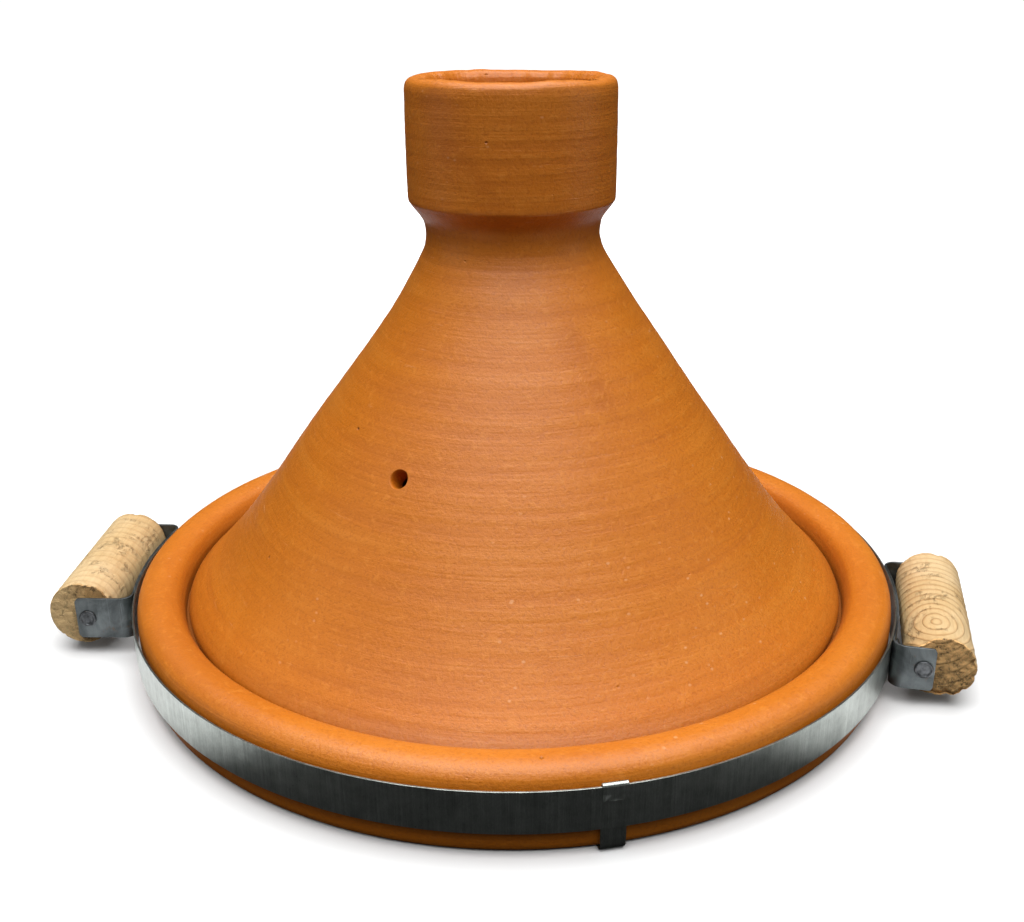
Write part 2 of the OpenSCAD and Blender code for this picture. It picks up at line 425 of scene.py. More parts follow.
def fired_clay(name, clay, seed=0.0):
    """Unglazed thrown clay: throwing lines, fine grit, pits darkened with painted shade, rubbed patches, a
    soft sheen and painted shade round the lid's foot.
    """
    n = Nodes(name)
    spot = n.scaled((1, 1, 1), shift=(seed, seed * 0.7, 0))
    lines = n.noise(1.0, 6.0, 0.6, n.scaled((5, 5, 210), source=spot), 0.25)
    fine_lines = n.noise(1.0, 5.0, 0.65, n.scaled((14, 14, 900), source=spot), 0.1)
    clouds = n.noise(11, 5.0, 0.6, spot, 0.3)
    grit = n.noise(950, 3.0, 0.7, spot)
    sand = n.noise(330, 4.0, 0.6, spot)
    body = n.plus(n.times(lines, 0.55), n.times(clouds, 0.45))
    colour = n.ramp(body, (0.33, clay.dark), (0.5, clay.colour), (0.68, clay.light))
    colour = n.mix(0.55, tuple(clay.colour), colour)
    rubbed = n.noise(22, 6.0, 0.7, n.scaled((1, 1, 1.9), source=spot), 1.2)
    colour = n.mix(n.mask(rubbed, 0.56, 0.72, 0.35), colour, tuple(clay.light))
    stains = n.noise(16, 3.0, 0.5, n.scaled((1, 1, 0.7), shift=(3, 1, 2), source=spot), 0.6)
    colour = n.mix(n.mask(stains, 0.64, 0.72, 0.42), colour, tuple(clay.dark))
    colour = n.mix(n.mask(grit, 0.49, 0.36, 0.5), colour, tuple(clay.dark))
    colour = n.mix(n.mask(sand, 0.56, 0.68, 0.42), colour, tuple(clay.light))
    chalk = n.cells(150, n.scaled((1, 1, 1.6), source=spot))
    chalk = n.times(n.mask(chalk, 0.13, 0.05), n.mask(clouds, 0.5, 0.62))
    colour = n.mix(n.times(chalk, 0.5), colour, (0.78, 0.42, 0.2))
    pit = n.cells(62, n.scaled((1, 1, 1.3), shift=(0.37, 0.11, 0.05), source=spot))
    pit_and_shade = n.times(n.mask(pit, 0.05, 0.015), n.mask(stains, 0.46, 0.56))
    # The pits' dark colour is painted shade in their hollows; the bump further down sinks them.
    colour = n.mix(n.times(pit_and_shade, 0.75), colour, (0.2, 0.05, 0.008))
    scuff = n.noise(1.0, 3.0, 0.6, n.scaled((26, 60, 900), turn=(0.35, 0.25, 0.4), source=spot), 0.4)
    scuff = n.times(n.mask(scuff, 0.66, 0.70), n.mask(rubbed, 0.5, 0.6))
    colour = n.mix(n.times(scuff, 0.35), colour, (0.74, 0.36, 0.16))
    # Painted shade: the clay darkens below about 31 mm height and inside 145.5 mm from the axis, on the
    # lid's foot, in the groove round it and inside the dish.
    out, height = n.split(n.round_the_pot())[1:3]
    foot = n.mask(n.times(height, 10.0), 0.315, 0.225)
    foot = n.times(foot, n.math("LESS_THAN", out, 145.5 * MM))
    colour = n.mix(n.times(foot, 0.6), colour, tuple(c * 0.45 for c in clay.dark))
    rough = n.plus(0.50, n.times(n.math("SUBTRACT", grit, lines), 0.22))
    rough = n.plus(rough, n.times(rubbed, -0.08))
    n.shader.inputs["Specular IOR Level"].default_value = 0.5
    face = n.bump(lines, 0.5 * MM, 0.55)
    face = n.bump(fine_lines, 0.22 * MM, 0.5, face)
    face = n.bump(grit, 0.26 * MM, 0.6, face)
    face = n.bump(sand, 0.3 * MM, 0.5, face)
    face = n.bump(n.math("SUBTRACT", 1.0, pit_and_shade), 0.7 * MM, 0.9, face)
    face = n.bump(scuff, 0.1 * MM, 0.5, face)
    return n.finish(colour, rough, face)


def galvanised(name, colour):
    """Galvanised strip with streaks across its length, dull spangle, dark clouds and dark specks."""
    n = Nodes(name)
    across = n.round_the_pot()
    streaks = n.noise(1.0, 6.0, 0.7, n.scaled((1500, 60, 45), source=across), 0.2)
    bands = n.noise(1.0, 4.0, 0.6, n.scaled((170, 20, 16), source=across), 0.5)
    spangle = n.cells(240, n.scaled((1, 1, 1), source=across))
    clouds = n.noise(34, 4.0, 0.6, across, 0.5)
    bright = tuple(min(1.0, c * 1.7) for c in colour)
    dark = tuple(c * 0.5 for c in colour)
    fine = n.noise(1.0, 4.0, 0.7, n.scaled((2600, 900, 900), source=across))
    tone = n.plus(n.times(streaks, 0.45), n.times(bands, 0.25))
    tone = n.plus(tone, n.times(fine, 0.3))
    paint = n.ramp(tone, (0.34, dark), (0.52, colour), (0.7, bright))
    paint = n.mix(n.mask(clouds, 0.45, 0.7, 0.4), paint, dark)
    paint = n.mix(n.times(spangle, 0.35), paint, bright)
    specks = n.times(n.mask(n.cells(620, across), 0.16, 0.08), n.mask(clouds, 0.5, 0.65))
    paint = n.mix(n.times(specks, 0.5), paint, (0.05, 0.045, 0.035))
    n.shader.inputs["Metallic"].default_value = 1.0
    rough = n.plus(0.22, n.times(tone, 0.2))
    face = n.bump(streaks, 0.05 * MM, 0.6)
    face = n.bump(clouds, 0.5 * MM, 0.35, face)
    face = n.bump(spangle, 0.04 * MM, 0.5, face)
    return n.finish(paint, rough, face)


def dull_steel(name, colour, scale=1.0):
    """Dark dull sheet or wire with fine scratches and rubbed spots."""
    n = Nodes(name)
    clouds = n.noise(90 * scale, 5.0, 0.6, warp=0.6)
    grit = n.noise(1400 * scale, 4.0, 0.6)
    scratch = n.noise(1.0, 4.0, 0.6, n.scaled((2600, 260, 70), turn=(0.1, 0.3, 0.2)), 0.2)
    bright = tuple(min(1.0, c * 2.0) for c in colour)
    dark = tuple(c * 0.5 for c in colour)
    paint = n.ramp(clouds, (0.36, dark), (0.5, colour), (0.68, bright))
    paint = n.mix(n.mask(scratch, 0.58, 0.66, 0.4), paint, bright)
    rust = n.mask(n.noise(260 * scale, 4.0), 0.64, 0.7, 0.3)
    paint = n.mix(rust, paint, (0.16, 0.08, 0.035))
    n.shader.inputs["Metallic"].default_value = 0.95
    rough = n.plus(0.34, n.times(clouds, 0.25))
    face = n.bump(clouds, 0.3 * MM, 0.4)
    face = n.bump(grit, 0.05 * MM, 0.5, face)
    face = n.bump(scratch, 0.05 * MM, 0.35, face)
    return n.finish(paint, rough, face)


def pine(name, wood, half, grip):
    """Raw pine: growth rings round a tilted pith, fibres along the grip, torn grain darkened with painted
    shade and rough brown ends.
    """
    n = Nodes(name)
    about_pith = n.split(n.scaled((1, 1, 1), turn=grip["tilt"], shift=grip["pith"]))
    out = n.length(about_pith[0], about_pith[2])
    out = n.plus(out, n.times(n.noise(38, 3.0, 0.5), 1.6 * MM))
    wave = n.math("FRACT", n.math("DIVIDE", out, grip["ring_gap"]))
    late = n.ramp(wave, (0.0, 0.0), (0.62, 0.12), (LATE_WOOD, 1.0), (0.94, 0.85), (1.0, 0.0))
    fibres = n.noise(1.0, 5.0, 0.65, n.scaled((900, 26, 900)), 0.2)
    clouds = n.noise(45, 4.0, 0.6)
    paint = n.mix(n.times(late, grip["ring_tone"]), tuple(wood.pale), tuple(wood.ring))
    paint = n.mix(n.mask(fibres, 0.55, 0.35, 0.30), paint, tuple(wood.ring))
    paint = n.mix(n.mask(clouds, 0.45, 0.75, 0.3), paint, (0.93, 0.76, 0.5))
    torn = n.noise(1.0, 5.0, 0.7, n.scaled((420, 230, 420)), 0.5)
    patches = n.noise(1.0, 3.0, 0.6, n.scaled((70, 120, 70), shift=(1, 2, 3)), 0.4)
    tear_and_shade = n.times(n.mask(torn, 0.5, 0.62), n.mask(patches, 0.5, 0.6))
    # The torn grain is real relief, sunk by the bump further down; its darkening is painted shade in the
    # tears.
    paint = n.mix(n.times(tear_and_shade, 0.15), paint, tuple(wood.ring))
    hole = n.noise(420, 5.0, 0.7)
    end = tuple(c * grip["end_tone"] for c in wood.end)
    own_x, own_y = n.split()[0:2]
    along = n.math("ABSOLUTE", own_y)
    ends = n.math("GREATER_THAN", along, half - 0.75 * MM)
    near_end = n.math("DIVIDE", n.math("SUBTRACT", along, half - 5 * MM), 5 * MM, clamp=True)
    near_end = n.times(near_end, n.mask(hole, 0.42, 0.6))
    end_dark = tuple(c * 0.2 for c in end)
    end_light = tuple(c * 1.35 for c in end)
    end_paint = n.ramp(hole, (0.36, end_dark), (0.46, end), (0.62, end_light))
    end_paint = n.mix(n.times(late, 0.35), end_paint, tuple(c * 0.5 for c in end))
    away = n.plus(n.times(own_x, 36.0), n.times(hole, 0.6))
    away = n.times(n.mask(n.plus(away, 0.2), 0.4, 0.75), grip["clean_end"])
    end_paint = n.mix(away, end_paint, tuple(min(0.95, c * 1.5) for c in wood.pale))
    paint = n.mix(n.times(near_end, 0.55), paint, tuple(wood.ring))
    paint = n.mix(ends, paint, end_paint)
    rough = n.plus(0.55, n.times(fibres, 0.25))
    n.shader.inputs["Specular IOR Level"].default_value = 0.35
    face = n.bump(late, 0.35 * MM, 0.7)
    face = n.bump(fibres, 0.18 * MM, 0.5, face)
    face = n.bump(n.times(tear_and_shade, -1.0), 0.7 * MM, 0.9, face)
    face = n.bump(n.times(hole, ends), 0.8 * MM, 0.9, face)
    return n.finish(paint, rough, face)


# ---------------------------------------------------------------------------
# Clay

CONE_AT = (116.2 * MM, 45.8 * MM)
CONE_SLOPE = 0.735
CONE_TILT = math.radians(54.5)
LIP_FROM = 208 * MM
LIP_HEIGHT = 18 * MM

# Outlines as (spacing, (radius, height) points) stretches, from the outside round to the inside.
LID_OUTLINE = [
    (2.0, [(129.2, 21.05), (134.4, 21.05)]),
    (0.6, [(134.4, 21.05), (135.8, 21.6), (136.2, 23.2), (135.2, 25.4), (131.9, 28.6)]),
    (1.3, [(131.9, 28.6), (116.2, 45.8), (100.0, 67.1), (85.0, 88.4), (70.6, 108.2), (56.8, 127.6),
           (48.1, 140.2), (40.4, 152.7), (37.1, 158.3), (35.0, 162.4), (33.9, 166.4), (33.7, 169.3),
           (34.3, 173.0), (35.3, 175.2), (36.8, 177.3), (38.3, 179.2), (39.2, 180.5)]),
    (0.5, [(39.2, 180.5), (39.7, 181.3), (39.85, 182.7)]),
    (1.4, [(39.85, 182.7), (39.95, 195.0), (39.9, 209.0), (39.75, 221.4)]),
    (0.6, [(39.75, 221.4), (39.2, 224.0), (37.4, 225.6), (35.0, 225.9), (32.8, 225.2), (31.4, 223.2)]),
    (2.5, [(31.4, 223.2), (30.4, 208.0), (29.0, 193.0), (27.0, 183.6)]),
    (1.5, [(27.0, 183.6), (23.6, 179.0), (14.0, 177.3), (0.0, 177.1)]),
]
LID_HOLLOW = [
    (4.0, [(0.0, 162.3), (12.0, 161.2), (24.0, 154), (34.4, 145), (47.6, 125.6), (64.0, 102.6),
           (86.0, 72.8), (106.2, 45.6), (120.0, 31.6)]),
    (1.5, [(120.0, 31.6), (126.4, 25.6), (127.7, 23), (129.2, 21.05)]),
]
DISH_OUTLINE = [
    (8.0, [(0.0, 0.65), (152.6, 0.65)]),
    (0.6, [(152.6, 0.65), (154.1, 1.2), (155.0, 3.2)]),
    (1.4, [(155.0, 3.2), (155.8, 10.3), (156.1, 18.0), (156.15, 24.6)]),
    (0.7, [(156.15, 24.6), (155.7, 27.3), (154.4, 29.6), (152.2, 31.3), (149.4, 32.1), (146.6, 32.1),
           (143.2, 31.3), (140.6, 29.9), (138.9, 27.6), (138.0, 25.2), (137.5, 23.0), (137.3, 21.0)]),
    (2.0, [(137.3, 21.0), (127.0, 20.98)]),
    (1.5, [(127.0, 20.98), (124.4, 20.0), (122.4, 17.4), (119.8, 13.4), (115.6, 10.0), (108.0, 8.5)]),
    (5.0, [(108.0, 8.5), (84.0, 8.2), (0.0, 7.85)]),
]


def thrown(clay, radius, height, turn, lines):
    """A point on thrown clay: a true circle, moved inwards by finger lines and a slow wander."""
    finger = grain(height * 260, math.cos(turn) * 0.9, math.sin(turn) * 0.9, 3)
    slow = grain(math.cos(turn) * 1.3, math.sin(turn) * 1.3, height * 9, 2)
    inward = clay.throwing * lines * (1 + finger) + 0.15 * clay.wobble * (1 + slow)
    return radius - inward


def lid_point(clay, view_turn):
    """Shape of the lid's clay: finger lines, an uneven lip and a slight bulge under the neck."""
    def shape(radius, height, turn):
        out = thrown(clay, radius, height, turn, 1.0 if radius > 33 * MM else 2.0)
        lip = max(0.0, (height - LIP_FROM) / LIP_HEIGHT)
        wander = grain(math.cos(turn) * 2.2 + 5, math.sin(turn) * 2.2, 1.5, 3)
        height += clay.wobble * lip ** 3 * (wander - 0.25)
        if height > LIP_FROM and radius < 36 * MM:
            wander = grain(math.cos(turn) * 2.4, math.sin(turn) * 2.4, 7.5, 4)
            out += 5.0 * clay.wobble * lip * wander
        bulge = math.exp(-((height - 135 * MM) / (30 * MM)) ** 2) * clay.lean
        x = out * math.cos(turn) + bulge * math.cos(view_turn)
        y = out * math.sin(turn) + bulge * math.sin(view_turn)
        return Vector((x, y, height))
    return shape


def steam_cutter(clay):
    """A slightly ragged round cutter with a flared mouth, square to the cone."""
    flare = ((-16, 1.0), (-3, 1.0), (-1.0, 1.02), (-0.35, 1.08), (0.1, 1.22), (0.7, 1.5), (4, 2.4))
    sections = []
    for depth, swell in flare:
        ring = []
        for i in range(40):
            turn = 2 * math.pi * i / 40
            ragged = 1 + 0.045 * grain(math.cos(turn) * 1.4, math.sin(turn) * 1.4, 3.3)
            radius = clay.steam_radius * swell * ragged
            ring.append(Vector((radius * math.cos(turn), radius * math.sin(turn), depth * MM)))
        sections.append(ring)
    cutter = loft("steam_cutter", sections)
    out = CONE_AT[0] - (clay.steam_height - CONE_AT[1]) * CONE_SLOPE
    cutter.matrix_world = (Matrix.Rotation(clay.steam_turn, 4, "Z")
                           @ Matrix.Translation((out, 0, clay.steam_height))
                           @ Matrix.Rotation(CONE_TILT, 4, "Y"))
    return cutter


def cut(piece, cutter):
    """Cuts the cutter out of the piece and drops the cutter."""
    bpy.context.view_layer.update()
    tool = piece.modifiers.new("cut", "BOOLEAN")
    tool.object = cutter
    tool.solver = "EXACT"
    whole = piece.evaluated_get(bpy.context.evaluated_depsgraph_get())
    mesh = bpy.data.meshes.new_from_object(whole)
    piece.modifiers.clear()
    old = piece.data
    piece.data = mesh
    bpy.data.meshes.remove(old)
    bpy.data.objects.remove(cutter)
    mesh.shade_smooth()
    mesh.set_sharp_from_angle(angle=math.radians(40))


class TAGINE_OT_lid(bpy.types.Operator):
    """Throw the cone lid with its neck and hollow knob, and cut its steam hole"""

    bl_idname = "tagine.lid"
    bl_label = "Clay lid"

    def execute(self, context):
        clay = context.scene.tagine_clay
        chains = [outline(LID_OUTLINE), outline(LID_HOLLOW)[:-1]]
        shape = lid_point(clay, context.scene.tagine_stage.view_turn)
        lid = spin("clay_lid", chains, clay.steps, shape, closed=True)
        cut(lid, steam_cutter(clay))
        place(lid, "lid", ["lid"], fired_clay("lid_clay", clay))
        return {"FINISHED"}


def dish_point(clay):
    """Shape of the dish's clay: finger lines and an uneven crest to the rim."""
    def shape(radius, height, turn):
        out = thrown(clay, radius, height, turn, 1.0 if radius > 138 * MM else 1.5)
        crest = max(0.0, (height - 24 * MM) / (8 * MM))
        wander = grain(math.cos(turn) * 2 + 9, math.sin(turn) * 2, 4.5, 3)
        height += 0.8 * clay.wobble * crest * (wander - 0.3)
        return Vector((out * math.cos(turn), out * math.sin(turn), height))
    return shape


class TAGINE_OT_dish(bpy.types.Operator):
    """Throw the shallow dish with its rolled rim, groove and ledge"""

    bl_idname = "tagine.dish"
    bl_label = "Clay dish"

    def execute(self, context):
        clay = context.scene.tagine_clay
        dish = spin("clay_dish", [outline(DISH_OUTLINE)], clay.steps, dish_point(clay))
        place(dish, "dish", ["base_dish"], fired_clay("dish_clay", clay, 4.0))
        return {"FINISHED"}


# ---------------------------------------------------------------------------
# Steel


def ring_frame(turn):
    """Outward and sideways directions at a turn round the pot."""
    return Vector((math.cos(turn), math.sin(turn), 0)), Vector((-math.sin(turn), math.cos(turn), 0))


class TAGINE_OT_hoop(bpy.types.Operator):
    """Bend the galvanised strip round the dish and lap its ends at the back"""

    bl_idname = "tagine.hoop"
    bl_label = "Hoop"

    def execute(self, context):
        steel = context.scene.tagine_steel
        low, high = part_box("hoop_band")
        half = (high[2] - low[2]) / 2
        mid = (high[2] + low[2]) / 2
        section = strip_section(half, steel.hoop_sheet / 2, 6)
        lap_start = math.radians(84)
        lap_end = math.radians(456)
        lift_from = math.radians(434)
        lift_to = math.radians(443)
        lift_full = steel.hoop_sheet + 0.02 * MM
        count = 744
        sections = []
        for k in range(count + 1):
            turn = lap_start + (lap_end - lap_start) * k / count
            lift = min(1.0, max(0.0, (turn - lift_from) / (lift_to - lift_from)))
            lift = lift_full * lift * lift * (3 - 2 * lift)
            out = ring_frame(turn)[0]
            loose = min(1.0, min(k, count - k) / count * 372 / 25)
            sway = 0.12 * MM * grain(math.cos(turn) * 3, math.sin(turn) * 3, 2.0, 2) * loose
            ring = []
            for along, through_sheet in section:
                dent = 0.05 * MM * (grain(turn * 22, along * 260, 5.0, 2) - 1) * loose
                radius = steel.hoop_radius - steel.hoop_sheet / 2 + lift + through_sheet + dent
                ring.append(out * radius + Vector((0, 0, mid + along + sway)))
            sections.append(ring)
        hoop = loft("steel_hoop", sections)
        zinc = galvanised("hoop_zinc", tuple(steel.strip))
        place(hoop, "dish", ["hoop_band"], zinc)
        return {"FINISHED"}


def strap_path(steel):
    """Middle line of half the strap, from its tab to the middle, as (distance from the axis, height)."""
    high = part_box("hoop_band")[1]
    sheet = steel.strap_sheet
    leg = steel.hoop_radius - steel.hoop_sheet - 0.8 * MM + sheet / 2
    fold = 0.475 * MM + sheet / 2
    foot = 3 * MM + sheet / 2
    top = high[2] + 0.1 * MM
    path = [(leg + 2 * fold, top - 5 * MM * (1 - i / 8)) for i in range(8)]
    path += arc(leg + fold, top, fold, 0, 180, 10)
    path += [(leg, top - (top - foot - sheet / 2) * i / 12) for i in range(1, 12)]
    path += arc(leg - foot, foot + sheet / 2, foot, 0, -90, 10)
    path += [((leg - foot) * (1 - i / 24), sheet / 2) for i in range(1, 24)]
    return path


class TAGINE_OT_strap(bpy.types.Operator):
    """Run the strap under the dish and hook its ends over the hoop"""

    bl_idname = "tagine.strap"
    bl_label = "Strap"

    def execute(self, context):
        steel = context.scene.tagine_steel
        front = strap_path(steel)
        path = front + [(0.0, steel.strap_sheet / 2)] + [(-x, z) for x, z in reversed(front)]
        out, side = ring_frame(steel.strap_turn)
        section = strip_section(steel.strap_width / 2, steel.strap_sheet / 2, 10)
        sections = []
        for k, (x, z) in enumerate(path):
            ahead = path[min(k + 1, len(path) - 1)]
            behind = path[max(k - 1, 0)]
            along = Vector((ahead[0] - behind[0], ahead[1] - behind[1])).normalized()
            normal = Vector((along.y, -along.x))
            on_tab = max(0.0, 1 - min(k, len(path) - 1 - k) / 8)
            ring = []
            for across, sheet in section:
                dent = on_tab * 0.3 * MM * (0.5 + grain(across * 620, k * 0.8, x * 9, 3))
                curl = 0.5 * MM * max(0.0, 1 - k / 3) * max(0.0, -across / steel.strap_width - 0.1) * 2.5
                place_x = x + normal.x * sheet + math.copysign(dent + curl, x)
                ring.append(out * place_x + side * across + Vector((0, 0, z + normal.y * sheet)))
            sections.append(ring)
        strap = loft("steel_strap", sections)
        zinc = galvanised("strap_zinc", tuple(steel.strip))
        place(strap, "dish", ["under_strap"], zinc)
        return {"FINISHED"}


def bracket_path(steel, length, reach):
    """Middle line of a bracket from above, with the handle along +X: arm, bend, web, bend, arm."""
    sheet = steel.bracket_sheet
    arm = length / 2 + 0.3 * MM + sheet / 2
    web = steel.hoop_radius + sheet / 2
    bend = steel.bend + sheet / 2
    drop = arm - bend
    spread = math.asin(drop / (web + bend))
    at = (web + bend) * math.cos(spread)
    path = [(reach - (reach - at) * i / 16, arm) for i in range(16)]
    path += arc(at, drop, bend, 90, 180 + math.degrees(spread), 10)
    path += arc(0, 0, web, math.degrees(spread), 0, 16)[1:]
    return path + [(x, -y) for x, y in reversed(path[:-1])]


def build_bracket(context, side):
    """One U-shaped bracket: a web along the hoop and two arms with rounded corners."""
    steel = context.scene.tagine_steel
    wood = context.scene.tagine_wood
    node = "bracket_" + side
    low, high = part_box(node)
    turn = turn_of(node)
    out, across = ring_frame(turn)
    reach = max(v.co.dot(out) for v in NODES[node].data.vertices)
    half = (high[2] - low[2]) / 2
    mid = (high[2] + low[2]) / 2
    path = bracket_path(steel, wood.length, reach)
    corner = 1.4 * MM
    lengths = [0.0]
    for a, b in zip(path, path[1:]):
        lengths.append(lengths[-1] + math.dist(a, b))
    sections = []
    for k, (x, y) in enumerate(path):
        ahead = path[min(k + 1, len(path) - 1)]
        behind = path[max(k - 1, 0)]
        along = Vector((ahead[0] - behind[0], ahead[1] - behind[1])).normalized()
        normal = Vector((along.y, -along.x))
        from_end = min(lengths[k], lengths[-1] - lengths[k])
        inset = max(0.0, corner - from_end)
        tall = half - (corner - math.sqrt(max(0.0, corner ** 2 - inset ** 2)))
        ring = []
        for height, sheet in strip_section(tall, steel.bracket_sheet / 2, 8):
            dent = grain(lengths[k] * 90, height * 120, turn, 2)
            dent *= 0.1 * MM * min(1.0, from_end / (8 * MM))
            spot = out * (x + normal.x * sheet) + across * (y + normal.y * sheet)
            ring.append(spot + Vector((0, 0, mid + height + dent)))
        sections.append(ring)
    bracket = loft("steel_" + node, sections)
    finish = dull_steel(node + "_steel", tuple(steel.bracket), 0.7)
    place(bracket, "dish", [node], finish)


class TAGINE_OT_brackets(bpy.types.Operator):
    """Bend the two brackets that hold the grips"""

    bl_idname = "tagine.brackets"
    bl_label = "Brackets"

    def execute(self, context):
        for side in ("left", "right"):
            build_bracket(context, side)
        return {"FINISHED"}


HEAD_HEIGHT = 0.9 * MM
RIVET_HEIGHT = 1.5 * MM

# Outlines as (spacing, (radius, height) points) stretches, from the point to the head.
NAIL_OUTLINE = [
    (1.0, [(0.0, -22.0), (0.9, -20.6), (1.4, -18.6)]),
    (3.0, [(1.4, -18.6), (1.4, -0.05)]),
    (0.6, [(1.4, -0.05), (3.2, 0.0)]),
    (0.12, [(3.2, 0.0), (3.45, 0.18), (3.5, 0.42), (3.4, 0.72), (3.12, 0.88), (2.8, 0.84),
            (2.5, 0.6)]),
    (0.25, [(2.5, 0.6), (2.1, 0.42), (1.2, 0.46), (0.0, 0.5)]),
]
RIVET_OUTLINE = [
    (1.0, [(0.0, -2.2), (1.4, -2.2), (1.55, -2.0), (1.55, -0.02)]),
    (0.5, [(1.55, -0.02), (2.55, 0.0)]),
    (0.2, [(2.55, 0.0), (2.76, 0.2), (2.6, 0.62), (2.0, 1.1), (1.1, 1.4), (0.0, 1.48)]),
]


def headed(name, rings, at, direction, seed, rough):
    """A nail or rivet with a hammered head that looks along direction."""
    def shape(radius, height, turn):
        x = radius * math.cos(turn)
        y = radius * math.sin(turn)
        dint = rough * grain(x * 900 + seed, y * 900, seed, 3) if height > 0.1 * MM else 0.0
        return Vector((x, y, height + min(0.0, dint)))
    part = spin(name, [outline(rings)], 40, shape, crease=50)
    facing = direction.to_track_quat("Z", "Y").to_matrix().to_4x4()
    part.matrix_world = Matrix.Translation(at) @ facing
    return part


def fastener_pair(node):
    """Outward and sideways directions at a CAD node, and the corners of its two solids."""
    points = [v.co.copy() for v in NODES[node].data.vertices]
    centre = sum(points, Vector()) / len(points)
    out, across = ring_frame(math.atan2(centre.y, centre.x))
    pair = [[p for p in points if (p - centre).dot(across) * sign > 0] for sign in (1, -1)]
    return out, across, pair


class TAGINE_OT_nails(bpy.types.Operator):
    """Drive the dished nails through the bracket arms into the grips"""

    bl_idname = "tagine.nails"
    bl_label = "Nails"

    def execute(self, context):
        steel = context.scene.tagine_steel
        finish = dull_steel("nail_steel", tuple(steel.nail), 2.0)
        for side in ("left", "right"):
            node = "nails_" + side
            out, across, pair = fastener_pair(node)
            parts = []
            for sign, solid in zip((1, -1), pair):
                way = across * sign
                tip = max(p.dot(way) for p in solid) - HEAD_HEIGHT
                low = min(p.z for p in solid)
                high = max(p.z for p in solid)
                inner = min(p.dot(out) for p in solid)
                outer = max(p.dot(out) for p in solid)
                at = out * ((inner + outer) / 2) + way * tip + Vector((0, 0, (low + high) / 2))
                parts.append(headed("nail", NAIL_OUTLINE, at, way, tip * 300 + sign, 0.28 * MM))
            bpy.context.view_layer.update()
            nails = joined("steel_" + node, parts)
            place(nails, "grip_" + side, [node], finish)
        return {"FINISHED"}


class TAGINE_OT_rivets(bpy.types.Operator):
    """Set the rivets that hold the brackets and close the hoop"""

    bl_idname = "tagine.rivets"
    bl_label = "Rivets"

    def execute(self, context):
        steel = context.scene.tagine_steel
        finish = dull_steel("rivet_steel", tuple(steel.nail), 2.0)
        for node in ("hoop_rivets", "rivets_left", "rivets_right"):
            parts = []
            for solid in fastener_pair(node)[2]:
                centre = sum(solid, Vector()) / len(solid)
                way = Vector((centre.x, centre.y, 0)).normalized()
                seat = max(p.dot(way) for p in solid) - RIVET_HEIGHT
                at = way * seat + Vector((0, 0, middle(node).z))
                parts.append(headed("rivet", RIVET_OUTLINE, at, way, centre.x * 90, 0.12 * MM))
            bpy.context.view_layer.update()
            rivets = joined("steel_" + node, parts)
            place(rivets, "dish", [node], finish)
        return {"FINISHED"}


# ---------------------------------------------------------------------------
# Wood


# Growth rings: pith is the middle of the rings, tilt their lean and gap their spacing.
# The tones darken the rings and the sawn ends, and clean_end pales the ends' outer part.
GRIPS = {
    "left": {"seed": 2.3, "pith": (0.012, 0.0, 0.060), "tilt": (1.42, 0.2, 0.0),
             "ring_gap": 4.6 * MM, "ring_tone": 0.3, "end_tone": 0.9, "clean_end": 0.9, "slope": 0.0},
    "right": {"seed": 7.9, "pith": (0.003, 0.0, 0.0083), "tilt": (0.87, 0.1, 0.0),
              "ring_gap": 2.9 * MM, "ring_tone": 0.8, "end_tone": 1.45, "clean_end": 0.0,
              "slope": math.radians(2.2)},
}
LATE_WOOD = 0.86
NICKS = 15


def grip_chip(wood, half, seed, turn, along, depth_in):
    """How far the wood is broken away at a turn, a place along the grip and a depth from its side."""
    end = half - abs(along)
    ragged = grain(math.cos(turn) * 1.7 + seed, math.sin(turn) * 1.7, math.copysign(3.7, along), 4)
    bite = max(0.0, ragged - 0.04) * wood.chips * 1.9
    edge = max(0.0, 1 - (end + depth_in) / (0.6 * MM + 2.2 * bite))
    return bite * edge ** 0.8


def grip_rings(half, radius):
    """Outline of a plain grip along its length, close together at the sawn ends."""
    face = [(radius * (i / 14), -half) for i in range(14)]
    edge = [(radius - 0.35 * MM, -half), (radius - 0.1 * MM, -half + 0.12 * MM)]
    edge.append((radius, -half + 0.5 * MM))
    near = [(radius, -half + 0.5 * MM + 0.45 * MM * i) for i in range(1, 18)]
    start = near[-1][1]
    body = [(radius, start + (-2 * start) * i / 96) for i in range(1, 96)]
    first = face + edge + near
    return first + body + [(r, -z) for r, z in reversed(first)]


